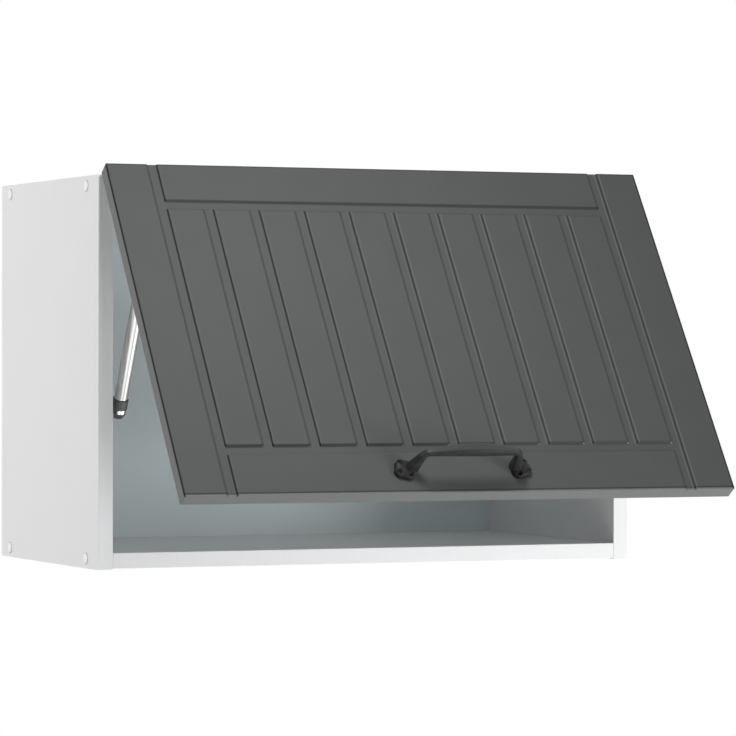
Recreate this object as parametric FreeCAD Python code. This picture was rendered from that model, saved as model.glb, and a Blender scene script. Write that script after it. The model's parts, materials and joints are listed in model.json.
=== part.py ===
"""Wall cabinet with a lift-up door on two butt hinges and two gas struts.

Millimetres. X runs to the right as seen from the front, Y towards the wall, Z up.
The origin is the centre of the back panel's wall face. The door stands open at its
photographed angle; door pieces are drawn shut and then swung about the hinge axis.
"""
import FreeCAD
import Part
import math
import os

from FreeCAD import Placement, Rotation, Vector

# Carcass
cabinet_width = 600.0
cabinet_height = 400.0
cabinet_depth = 314.0
board = 16.0
edging = 0.8
back_thickness = 3.0
back_margin = 1.0
bottom_raise = 1.0

# Door
door_gap = 2.0
door_side_reveal = 1.5
door_top_reveal = 0.5
door_bottom_reveal = 1.5
door_thickness = 16.0
door_edge_radius = 2.5
rest_angle = 34.5
open_angle = 75.0

# Milled pattern of the door
strip_count = 12
channel_width = 12.2
channel_depth = 1.2
channel_slope_run = 1.6
top_rail = 51.0
bottom_rail = 52.2

# Butt hinges
hinge_inset = 100.0
leaf_length = 64.0
leaf_width = 24.0
leaf_thickness = 1.2
knuckle_radius = 2.5
knuckle_count = 5
knuckle_gap = 0.3
hinge_pin_radius = 1.2
hinge_pin_head_radius = 1.9
hinge_pin_head = 0.8
hinge_hole_count = 3
hinge_hole_spacing = 22.0

# Gas struts
strut_stand_off = 25.0
strut_foot_back = 54.1
strut_foot_drop = 243.1
strut_head_drop = 79.8
strut_head_back = 8.0
tube_radius = 7.0
tube_wall = 1.2
tube_length = 117.6
tube_floor = 2.0
tube_lip_chamfer = 0.6
rod_radius = 3.0
rod_length = 123.0
piston_length = 4.0
gland_length = 8.0
gland_flange = 1.5
foot_radius = 8.1
foot_tip_radius = 5.2
foot_tail = 3.2
foot_neck = 18.4
foot_rim = 1.0
foot_flat = 6.0
foot_mouth_radius = 1.4
foot_mouth_depth = 2.0
head_radius = 7.0
head_waist_radius = 4.8
head_tail = 7.0
head_neck = 13.0
head_grip_depth = 6.0
clip_rise = 5.4
clip_reach = 4.4
clip_width = 4.0
clip_thickness = 0.6
ball_radius = 4.0
ball_shank_radius = 2.5
stud_radius = 3.5
stud_collar_radius = 6.0
stud_collar = 2.0
strut_plate = 2.0
strut_plate_width = 20.0
strut_plate_height = 46.0
strut_screw_spacing = 32.0
ear_offset = 14.0
ear_height = 16.0
ear_rivet_radius = 4.0
ear_rivet = 1.2

# Handle
handle_spacing = 112.0
handle_rise = 26.0
handle_projection = 43.5
rosette_shift = 7.0
rosette_radius = 12.0
rosette_lobes = 4
rosette_turn_angle = 15.0
rosette_lobe_radius = 6.2
rosette_disc_radius = 10.2
rosette_thickness = 7.0
rosette_dome_radius = 37.0
rosette_pit_radius = 2.0
rosette_pit_offset = 8.2
bow_foot_radius = 6.5
bow_bend_radius = 3.3
bow_grip_radius = 6.3
spine_x_shares = (1.0, 0.985, 0.964, 0.939, 0.907, 0.84, 0.71, 0.39, 0.0)
spine_height_shares = (0.0, 0.18, 0.41, 0.6, 0.733, 0.824, 0.883, 0.97, 1.0)
bow_bend_share = 0.34
bow_taper_power = 1.5
bow_section_count = 33

# Wall brackets
wall_bracket_leg = 50.0
wall_bracket_side_leg = 40.0
wall_bracket_height = 40.0
wall_bracket_steel = 2.0
wall_bracket_drop = 6.0
wall_hole_radius = 3.25
wall_hole_inset = 30.0
wall_screw_spacing = 22.0

# Fasteners
assembly_screw_front_inset = 36.5
assembly_screw_rear_inset = 32.0
assembly_screw_edge_inset = 10.0
assembly_head_radius = 5.0
assembly_head = 1.5
assembly_cone = 2.5
assembly_shank_radius = 3.5
assembly_thread_radius = 3.0
assembly_length = 48.0
assembly_tip = 4.0
hex_key_width = 4.0
hex_key_depth = 3.2
hex_sides = 6
cap_radius = 6.3
cap_thickness = 1.0
cap_radius_shares = (0.0, 0.5, 0.8, 0.95, 1.0, 1.0)
cap_height_shares = (1.0, 0.95, 0.8, 0.55, 0.25, 0.0)
cap_stem_radius = 1.7
cap_stem = 2.6
wood_screw_radius = 1.6
wood_screw_length = 11.0
wood_screw_tip = 3.0
wood_screw_tip_radius = 0.3
wood_screw_head_radius = 2.8
round_head_radius = 3.4
round_head = 1.8
machine_screw_radius = 1.95
machine_head_radius = 4.0
machine_head = 2.4
machine_grip = 6.0
nail_head_radius = 2.0
nail_head = 0.7
nail_radius = 0.7
nail_length = 18.0
nails_across = 5
nails_up = 3
nail_spacing_across = 120.0
nail_spacing_up = 110.0

# Bumpers
bumper_radius = 4.5
bumper_thickness = 1.4
bumper_rise = 14.0

# Clearances
running_clearance = 0.05
seat_clearance = 0.1
free_clearance = 0.4
overrun = 5.0

# Places that follow from the sizes
half_width = cabinet_width / 2
half_height = cabinet_height / 2
front_y = -cabinet_depth
inner_x = half_width - board
board_front_y = front_y + edging
board_rear_y = -back_thickness
bottom_z = -half_height + bottom_raise
door_back_y = front_y - door_gap
door_front_y = door_back_y - door_thickness
door_half_width = half_width - door_side_reveal
door_top_z = half_height - door_top_reveal
door_bottom_z = -half_height + door_bottom_reveal
axis_offset = knuckle_radius + free_clearance
hinge_y = door_back_y + axis_offset
hinge_z = half_height + axis_offset
hinge_x = half_width - hinge_inset
strut_x = inner_x - strut_stand_off
strut_foot = Vector(strut_x, front_y + strut_foot_back, half_height - strut_foot_drop)
strut_head_shut = Vector(strut_x, hinge_y + strut_head_back, hinge_z - strut_head_drop)
hinge_point = Vector(0, hinge_y, hinge_z)
x_axis = Vector(1, 0, 0)
y_axis = Vector(0, 1, 0)
z_axis = Vector(0, 0, 1)
sides = (("left", -1), ("right", 1))
parts = {}


def block(x0, x1, y0, y1, z0, z1):
    """A box between two corners."""
    low = Vector(min(x0, x1), min(y0, y1), min(z0, z1))
    return Part.makeBox(abs(x1 - x0), abs(y1 - y0), abs(z1 - z0), low)


def rod_between(start, direction, radius, length):
    """A round bar from a point along a direction."""
    return Part.makeCylinder(radius, length, start, direction)


def turned(profile):
    """A turned solid from (radius, height) points, closed along the Z axis."""
    points = [Vector(radius, 0, height) for radius, height in profile]
    face = Part.Face(Part.makePolygon(points + points[:1]))
    return face.revolve(Vector(0, 0, 0), z_axis, 360)


def pointed(shape, place, direction):
    """A copy of a solid drawn along +Z, set at a place with +Z along a direction."""
    moved = shape.copy()
    moved.Placement = Placement(place, Rotation(z_axis, direction))
    return moved


def mirrored(shape):
    """The same piece on the other side of the cabinet's middle plane."""
    return shape.mirror(Vector(0, 0, 0), x_axis)


def for_side(shape, sign):
    """A piece drawn on the right, or its mirror on the left."""
    return shape.copy() if sign > 0 else mirrored(shape)


def swung(shape):
    """A door piece drawn shut, lifted about the hinge axis to its photographed angle."""
    moved = shape.copy()
    moved.rotate(hinge_point, x_axis, -rest_angle)
    return moved


def fused(shapes):
    """One clean solid from touching or overlapping shapes."""
    return shapes[0].multiFuse(list(shapes[1:])).removeSplitter()


def drilled(shape, cutters):
    """A solid with a list of tools taken out of it."""
    return shape.cut(Part.makeCompound(list(cutters)))


def group(shapes):
    """Separate solids that share one node."""
    return Part.makeCompound(list(shapes))


def spread(count, spacing):
    """Evenly spaced offsets about zero."""
    return [(index - (count - 1) / 2) * spacing for index in range(count)]


def assembly_screw(grow=0.0):
    """A stepped screw whose head is at zero and whose tip points along +Z; grow makes its bore."""
    shank_start = assembly_head + assembly_cone
    length = assembly_length + grow
    return turned([
        (0, 0),
        (assembly_head_radius + grow, 0),
        (assembly_head_radius + grow, assembly_head),
        (assembly_shank_radius + grow, shank_start),
        (assembly_shank_radius + grow, board),
        (assembly_thread_radius + grow, board),
        (assembly_thread_radius + grow, length - assembly_tip),
        (0, length),
    ])


def hex_socket():
    """The prism of a hexagon key."""
    corner_radius = hex_key_width / (2 * math.cos(math.pi / hex_sides))
    corners = []
    for index in range(hex_sides + 1):
        angle = 2 * math.pi * index / hex_sides
        corners.append(Vector(corner_radius * math.cos(angle), corner_radius * math.sin(angle), 0))
    return Part.Face(Part.makePolygon(corners)).extrude(Vector(0, 0, hex_key_depth))


def screw_cap():
    """A low domed cap whose stem points along +Z into the screw's hexagon."""
    crown = [(radius_share * cap_radius, -height_share * cap_thickness)
             for radius_share, height_share in zip(cap_radius_shares, cap_height_shares)]
    return turned(crown + [
        (cap_stem_radius, 0),
        (cap_stem_radius, cap_stem),
        (0, cap_stem),
    ])


def flat_screw(grow=0.0):
    """A countersunk wood screw with its head flush at zero, pointing along +Z."""
    end = leaf_thickness + wood_screw_length + grow
    return turned([
        (0, 0),
        (wood_screw_head_radius + grow, 0),
        (wood_screw_radius + grow, leaf_thickness),
        (wood_screw_radius + grow, end - wood_screw_tip),
        (0, end),
    ])


def round_screw(shank, radius, head_radius, head, tip, tip_radius, grow=0.0):
    """A round-head screw; zero is the face under its head, and it points along +Z."""
    crown = head_radius * math.cos(math.pi / 4)
    end = shank + grow
    return turned([
        (0, -head),
        (crown, -head),
        (head_radius, -head / 2),
        (head_radius, 0),
        (radius + grow, 0),
        (radius + grow, end - tip),
        (tip_radius + grow, end),
        (0, end),
    ])


def nail(grow=0.0):
    """A flat-headed nail with its head flush at zero, pointing along +Z."""
    return turned([
        (0, 0),
        (nail_head_radius + grow, 0),
        (nail_head_radius + grow, nail_head),
        (nail_radius + grow, nail_head),
        (nail_radius + grow, nail_length - nail_radius),
        (0, nail_length + grow),
    ])


def assembly_screw_places():
    """Where the assembly screws enter a side panel, drawn on the right."""
    for y in (front_y + assembly_screw_front_inset, -assembly_screw_rear_inset):
        for z in (half_height - assembly_screw_edge_inset, -half_height + assembly_screw_edge_inset):
            yield Vector(half_width, y, z)


def nail_places():
    """Where the nails enter the back panel."""
    board_middle = board / 2
    for x in spread(nails_across, nail_spacing_across):
        yield Vector(x, 0, half_height - board_middle)
        yield Vector(x, 0, bottom_z + board_middle)
    for z in spread(nails_up, nail_spacing_up):
        yield Vector(half_width - board_middle, 0, z)
        yield Vector(-half_width + board_middle, 0, z)


def wall_bracket_base_z():
    """The lower edge of the wall brackets."""
    return half_height - board - wall_bracket_drop - wall_bracket_height


def wall_hole_place():
    """The wall screw hole, on the right, at the wall face."""
    return Vector(inner_x - wall_hole_inset, 0, wall_bracket_base_z() + wall_bracket_height / 2)


def wall_bracket_screw_places():
    """Screws from the right wall bracket into the side panel."""
    middle_y = board_rear_y - wall_bracket_steel - wall_bracket_side_leg / 2
    middle_z = wall_bracket_base_z() + wall_bracket_height / 2
    for offset in spread(2, wall_screw_spacing):
        yield Vector(inner_x - wall_bracket_steel, middle_y, middle_z + offset)


def hinge_fixed_screw_places():
    """Screws through the fixed leaf of the right hinge."""
    y = hinge_y + (leaf_width + knuckle_radius) / 2
    for offset in spread(hinge_hole_count, hinge_hole_spacing):
        yield Vector(hinge_x + offset, y, half_height + leaf_thickness)


def hinge_door_screw_places():
    """Screws through the door leaf of the right hinge, with the door shut."""
    z = hinge_z - (leaf_width + knuckle_radius) / 2
    for offset in spread(hinge_hole_count, hinge_hole_spacing):
        yield Vector(hinge_x + offset, door_back_y + leaf_thickness, z)


def strut_side_screw_places():
    """Screws through the right strut's side bracket."""
    for offset in spread(2, strut_screw_spacing):
        yield Vector(inner_x - strut_plate, strut_foot.y, strut_foot.z + offset)


def strut_door_screw_places():
    """Screws through the right strut's door bracket, with the door shut."""
    for offset in spread(2, strut_screw_spacing):
        yield Vector(strut_x, door_back_y + strut_plate, strut_head_shut.z + offset)


def handle_foot_place(sign):
    """Where a handle foot stands on the door's face, with the door shut."""
    return Vector(sign * handle_spacing / 2, door_front_y, door_bottom_z + handle_rise)


def small_screw(grow=0.0):
    """The round-head wood screw of the brackets."""
    return round_screw(strut_plate + wood_screw_length, wood_screw_radius, round_head_radius, round_head,
                       wood_screw_tip, wood_screw_tip_radius, grow)


def bored(fastener, places, direction):
    """The pilot bores of a kind of fastener at its places."""
    return [pointed(fastener(running_clearance), place, direction) for place in places]


def on_both_sides(shape):
    """A piece drawn on the right, with its mirror."""
    return [shape, mirrored(shape)]


def make_carcass():
    """Boards, edge bands, back panel and what fastens them."""
    bores = [pointed(assembly_screw(seat_clearance), place, -x_axis) for place in assembly_screw_places()]
    nail_bores = bored(nail, nail_places(), -y_axis)
    wall_pilots = bored(small_screw, wall_bracket_screw_places(), x_axis)
    strut_pilots = bored(small_screw, strut_side_screw_places(), x_axis)
    hinge_pilots = bored(flat_screw, hinge_fixed_screw_places(), -z_axis)

    side = block(inner_x, half_width, board_front_y, board_rear_y, -half_height, half_height)
    side = drilled(side, bores + nail_bores + wall_pilots + strut_pilots)
    side_edging = block(inner_x, half_width, front_y, board_front_y, -half_height, half_height)
    for name, sign in sides:
        parts[name + "_side_panel"] = for_side(side, sign)
        parts[name + "_side_edging"] = for_side(side_edging, sign)

    both_bores = bores + [mirrored(bore) for bore in bores]
    both_hinge_pilots = hinge_pilots + [mirrored(pilot) for pilot in hinge_pilots]
    top = block(-inner_x, inner_x, board_front_y, board_rear_y, half_height - board, half_height)
    parts["top_panel"] = drilled(top, both_bores + nail_bores + both_hinge_pilots)
    parts["top_edging"] = block(-inner_x, inner_x, front_y, board_front_y, half_height - board, half_height)
    bottom = block(-inner_x, inner_x, board_front_y, board_rear_y, bottom_z, bottom_z + board)
    parts["bottom_panel"] = drilled(bottom, both_bores + nail_bores)
    parts["bottom_edging"] = block(-inner_x, inner_x, front_y, board_front_y, bottom_z, bottom_z + board)

    back_x = half_width - back_margin
    back_z = half_height - back_margin
    back = block(-back_x, back_x, board_rear_y, 0, -back_z, back_z)
    wall_hole = rod_between(wall_hole_place() + y_axis * overrun, -y_axis, wall_hole_radius,
                            back_thickness + 2 * overrun)
    parts["back_panel"] = drilled(back, nail_bores + on_both_sides(wall_hole))
    parts["back_panel_nails"] = group(pointed(nail(), place, -y_axis) for place in nail_places())

    screw = assembly_screw().cut(hex_socket())
    screws = group(pointed(screw, place, -x_axis) for place in assembly_screw_places())
    caps = group(pointed(screw_cap(), place, -x_axis) for place in assembly_screw_places())
    for name, sign in sides:
        parts[name + "_carcass_screws"] = for_side(screws, sign)
        parts[name + "_screw_caps"] = for_side(caps, sign)


def make_wall_brackets():
    """Steel angles in the top rear corners, which the wall screws pass through."""
    base_z = wall_bracket_base_z()
    top_z = base_z + wall_bracket_height
    steel_y = board_rear_y - wall_bracket_steel
    steel_x = inner_x - wall_bracket_steel
    back_leg = block(inner_x - wall_bracket_leg, inner_x, steel_y, board_rear_y, base_z, top_z)
    side_leg = block(steel_x, inner_x, steel_y - wall_bracket_side_leg, steel_y, base_z, top_z)
    bracket = fused([back_leg, side_leg])
    hole = rod_between(wall_hole_place() + y_axis * overrun, -y_axis, wall_hole_radius,
                       back_thickness + wall_bracket_steel + 2 * overrun)
    pilots = bored(small_screw, wall_bracket_screw_places(), x_axis)
    bracket = drilled(bracket, [hole] + pilots)
    screws = [pointed(small_screw(), place, x_axis) for place in wall_bracket_screw_places()]
    for name, sign in sides:
        parts[name + "_wall_bracket"] = for_side(bracket, sign)
    parts["wall_bracket_screws"] = group(screws + [mirrored(screw) for screw in screws])


def hinge_leaf(plate, knuckle_indices, web_y0, web_y1, web_z0, web_z1):
    """One leaf: its plate, the knuckles that it owns and the webs that carry them."""
    knuckle_step = leaf_length / knuckle_count
    length = knuckle_step - knuckle_gap
    solids = [plate]
    for index in knuckle_indices:
        start_x = hinge_x - leaf_length / 2 + index * knuckle_step + knuckle_gap / 2
        start = Vector(start_x, hinge_y, hinge_z)
        solids.append(rod_between(start, x_axis, knuckle_radius, length))
        solids.append(block(start_x, start_x + length, web_y0, web_y1, web_z0, web_z1))
    bore_start = Vector(hinge_x - leaf_length / 2 - overrun, hinge_y, hinge_z)
    bore = rod_between(bore_start, x_axis, hinge_pin_radius + running_clearance, leaf_length + 2 * overrun)
    return fused(solids).cut(bore)


def make_hinges():
    """Two butt hinges, folded square over the top front edge when the door is shut."""
    leaf_x0 = hinge_x - leaf_length / 2
    leaf_x1 = hinge_x + leaf_length / 2
    clear = knuckle_radius + free_clearance
    leaf_top_z = half_height + leaf_thickness
    leaf_rear_y = door_back_y + leaf_thickness
    fixed_plate = block(leaf_x0, leaf_x1, hinge_y + clear, hinge_y + leaf_width, half_height, leaf_top_z)
    door_plate = block(leaf_x0, leaf_x1, door_back_y, leaf_rear_y, hinge_z - leaf_width, hinge_z - clear)
    fixed_leaf = hinge_leaf(fixed_plate, range(0, knuckle_count, 2), hinge_y, hinge_y + clear,
                            half_height, leaf_top_z)
    door_leaf = hinge_leaf(door_plate, range(1, knuckle_count, 2), door_back_y, leaf_rear_y,
                           hinge_z - clear, hinge_z)
    fixed_screws = [pointed(flat_screw(), place, -z_axis) for place in hinge_fixed_screw_places()]
    door_screws = [pointed(flat_screw(), place, -y_axis) for place in hinge_door_screw_places()]
    fixed_leaf = drilled(fixed_leaf, bored(flat_screw, hinge_fixed_screw_places(), -z_axis))
    door_leaf = drilled(door_leaf, bored(flat_screw, hinge_door_screw_places(), -y_axis))
    pin_length = leaf_length + 2 * running_clearance
    pin = turned([
        (0, -hinge_pin_head),
        (hinge_pin_head_radius, -hinge_pin_head / 2),
        (hinge_pin_head_radius, 0),
        (hinge_pin_radius, 0),
        (hinge_pin_radius, pin_length),
        (hinge_pin_head_radius, pin_length),
        (hinge_pin_head_radius, pin_length + hinge_pin_head / 2),
        (0, pin_length + hinge_pin_head),
    ])
    pin = pointed(pin, Vector(leaf_x0 - running_clearance, hinge_y, hinge_z), x_axis)
    for name, sign in sides:
        parts[name + "_hinge_fixed_leaf"] = for_side(fixed_leaf, sign)
        parts[name + "_hinge_door_leaf"] = swung(for_side(door_leaf, sign))
        parts[name + "_hinge_pin"] = for_side(pin, sign)
    parts["hinge_fixed_screws"] = group(fixed_screws + [mirrored(screw) for screw in fixed_screws])
    parts["hinge_door_screws"] = swung(group(door_screws + [mirrored(screw) for screw in door_screws]))


def upright_channel(x, z0, z1):
    """A milling tool along Z: a channel with sloped walls in the door's face."""
    half = channel_width / 2
    half_floor = half - channel_slope_run
    slope_share = overrun / channel_depth
    half_mouth = half + channel_slope_run * slope_share
    floor_y = door_front_y + channel_depth
    mouth_y = door_front_y - overrun
    corners = [
        Vector(x - half_floor, floor_y, z0),
        Vector(x + half_floor, floor_y, z0),
        Vector(x + half_mouth, mouth_y, z0),
        Vector(x - half_mouth, mouth_y, z0),
    ]
    face = Part.Face(Part.makePolygon(corners + corners[:1]))
    return face.extrude(Vector(0, 0, z1 - z0))


def level_channel(z, x0, x1):
    """The same channel along X."""
    tool = upright_channel(0, x0, x1)
    tool.rotate(Vector(0, 0, 0), y_axis, 90)
    tool.translate(Vector(0, 0, z))
    return tool


def make_door():
    """The milled board: a frame of stiles and rails round ten raised planks."""
    board_shape = block(-door_half_width, door_half_width, door_front_y, door_back_y,
                        door_bottom_z, door_top_z)
    front_edges = [edge for edge in board_shape.Edges
                   if all(abs(vertex.Y - door_front_y) < running_clearance for vertex in edge.Vertexes)]
    board_shape = board_shape.makeFillet(door_edge_radius, front_edges)

    plank_count = strip_count - 2
    strip = 2 * door_half_width / strip_count
    stile_x = door_half_width - strip
    top_channel_z = door_top_z - top_rail
    bottom_channel_z = door_bottom_z + bottom_rail
    tools = [
        upright_channel(-stile_x, door_bottom_z - overrun, door_top_z + overrun),
        upright_channel(stile_x, door_bottom_z - overrun, door_top_z + overrun),
        level_channel(top_channel_z, -stile_x, stile_x),
        level_channel(bottom_channel_z, -stile_x, stile_x),
    ]
    for x in spread(plank_count - 1, strip):
        tools.append(upright_channel(x, bottom_channel_z, top_channel_z))
    board_shape = board_shape.cut(fused(tools)).removeSplitter()

    hinge_pilots = bored(flat_screw, hinge_door_screw_places(), -y_axis)
    strut_pilots = bored(small_screw, strut_door_screw_places(), -y_axis)
    pilots = hinge_pilots + strut_pilots
    pilots += [mirrored(pilot) for pilot in pilots]
    for _, sign in sides:
        start = handle_foot_place(sign) - y_axis * overrun
        pilots.append(rod_between(start, y_axis, machine_screw_radius + seat_clearance,
                                  door_thickness + 2 * overrun))
    parts["door_panel"] = swung(drilled(board_shape, pilots))

    bumpers = []
    for _, sign in sides:
        place = Vector(sign * (half_width - board / 2), door_back_y, door_bottom_z + bumper_rise)
        dome = turned([
            (0, 0),
            (bumper_radius, 0),
            (bumper_radius, bumper_thickness / 2),
            (bumper_radius - bumper_thickness / 2, bumper_thickness),
            (0, bumper_thickness),
        ])
        bumpers.append(pointed(dome, place, y_axis))
    parts["door_bumpers"] = swung(group(bumpers))


def rosette():
    """The right foot's domed plate, standing on zero along +Z; its four lobes reach outwards."""
    middle = x_axis * rosette_shift
    lobe_offset = rosette_radius - rosette_lobe_radius
    pit_height = rosette_thickness - rosette_pit_radius / 2
    solids = [rod_between(middle, z_axis, rosette_disc_radius, rosette_thickness)]
    pits = []
    for index in range(rosette_lobes):
        angle = 2 * math.pi * (index + 0.5) / rosette_lobes + math.radians(rosette_turn_angle)
        outward = Vector(math.cos(angle), math.sin(angle), 0)
        lobe = middle + outward * lobe_offset
        solids.append(rod_between(lobe, z_axis, rosette_lobe_radius, rosette_thickness))
        pit = middle + outward * rosette_pit_offset + z_axis * pit_height
        pits.append(Part.makeSphere(rosette_pit_radius, pit))
    dome_centre = middle + z_axis * (rosette_thickness - rosette_dome_radius)
    dome = Part.makeSphere(rosette_dome_radius, dome_centre)
    seat = rod_between(Vector(0, 0, 0), z_axis, bow_foot_radius + seat_clearance, rosette_thickness)
    plate = drilled(fused(solids).common(dome), pits).fuse(seat).removeSplitter()
    bore = rod_between(Vector(0, 0, -overrun), z_axis, machine_screw_radius + seat_clearance,
                       rosette_thickness + 2 * overrun)
    return plate.cut(bore)


def bow_radius(along):
    """The bow's radius at a share of the way from a foot, over the bend, to the grip's middle."""
    if along < bow_bend_share:
        ease = (1 - along / bow_bend_share) ** bow_taper_power
        return bow_bend_radius + (bow_foot_radius - bow_bend_radius) * ease
    swell = math.sin(math.pi / 2 * (along - bow_bend_share) / (1 - bow_bend_share))
    return bow_bend_radius + (bow_grip_radius - bow_bend_radius) * swell


def handle_bow():
    """The cast bow, standing on the rosettes, in the plane X and minus Y."""
    foot_right = handle_foot_place(1)
    half_spacing = handle_spacing / 2
    rise = handle_projection - rosette_thickness - bow_grip_radius
    right = [(x_share * half_spacing, rosette_thickness + height_share * rise)
             for x_share, height_share in zip(spine_x_shares, spine_height_shares)]
    outline = right + [(-x, height) for x, height in reversed(right[:-1])]
    points = [Vector(x, door_front_y - height, foot_right.z) for x, height in outline]
    spine = Part.BSplineCurve()
    spine.interpolate(Points=points, InitialTangent=-y_axis, FinalTangent=y_axis)
    sections = []
    for index in range(bow_section_count):
        share = index / (bow_section_count - 1)
        parameter = spine.FirstParameter + share * (spine.LastParameter - spine.FirstParameter)
        tangent = spine.tangent(parameter)[0]
        turn = Rotation(z_axis, z_axis.cross(tangent), tangent, "ZXY")
        ring = Part.Wire(Part.makeCircle(bow_radius(2 * min(share, 1 - share))))
        ring.Placement = Placement(spine.value(parameter), turn)
        sections.append(ring)
    bow = Part.makeLoft(sections, True, False)
    bores = []
    for _, sign in sides:
        foot = handle_foot_place(sign)
        bores.append(rod_between(foot + y_axis * overrun, -y_axis, machine_screw_radius + running_clearance,
                                 overrun + rosette_thickness + machine_grip + seat_clearance))
    return drilled(bow, bores)


def make_handle():
    """Bow, rosettes and the two screws that come through the door."""
    parts["handle_bow"] = swung(handle_bow())
    shank = door_thickness + rosette_thickness + machine_grip
    screw = round_screw(shank, machine_screw_radius, machine_head_radius, machine_head, seat_clearance,
                        machine_screw_radius - seat_clearance)
    right_plate = pointed(rosette(), handle_foot_place(1), -y_axis)
    screws = []
    for name, sign in sides:
        parts[name + "_handle_rosette"] = swung(for_side(right_plate, sign))
        screws.append(pointed(screw, handle_foot_place(sign) + y_axis * door_thickness, -y_axis))
    parts["handle_screws"] = swung(group(screws))


def strut_side_bracket():
    """The right strut's plate on the side panel, with the stud that the strut's foot sits on."""
    half_plate = strut_plate_width / 2
    half_tall = strut_plate_height / 2
    face_x = inner_x - strut_plate
    plate = block(face_x, inner_x, strut_foot.y - half_plate, strut_foot.y + half_plate,
                  strut_foot.z - half_tall, strut_foot.z + half_tall)
    stud_length = strut_stand_off - strut_plate - foot_flat - free_clearance
    start = Vector(face_x, strut_foot.y, strut_foot.z)
    solids = [
        plate,
        rod_between(start, -x_axis, stud_radius, stud_length),
        rod_between(start, -x_axis, stud_collar_radius, stud_collar),
    ]
    return drilled(fused(solids), bored(small_screw, strut_side_screw_places(), x_axis))


def strut_door_bracket():
    """The right strut's angle on the door's back, with its ball stud, drawn shut."""
    half_plate = strut_plate_width / 2
    half_tall = strut_plate_height / 2
    ball = strut_head_shut
    ear_x = strut_x - ear_offset
    plate_y = door_back_y + strut_plate
    plate = block(ear_x, strut_x + half_plate, door_back_y, plate_y, ball.z - half_tall, ball.z + half_tall)
    half_ear = ear_height / 2
    ear = block(ear_x, ear_x + strut_plate, plate_y, ball.y + half_ear, ball.z - half_ear, ball.z + half_ear)
    rivet_start = Vector(ear_x - ear_rivet, ball.y, ball.z)
    solids = [
        plate,
        ear,
        rod_between(rivet_start, x_axis, ear_rivet_radius, ear_rivet),
        rod_between(rivet_start, x_axis, ball_shank_radius, ear_offset + ear_rivet),
        Part.makeSphere(ball_radius, ball),
    ]
    return drilled(fused(solids), bored(small_screw, strut_door_screw_places(), -y_axis))


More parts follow.
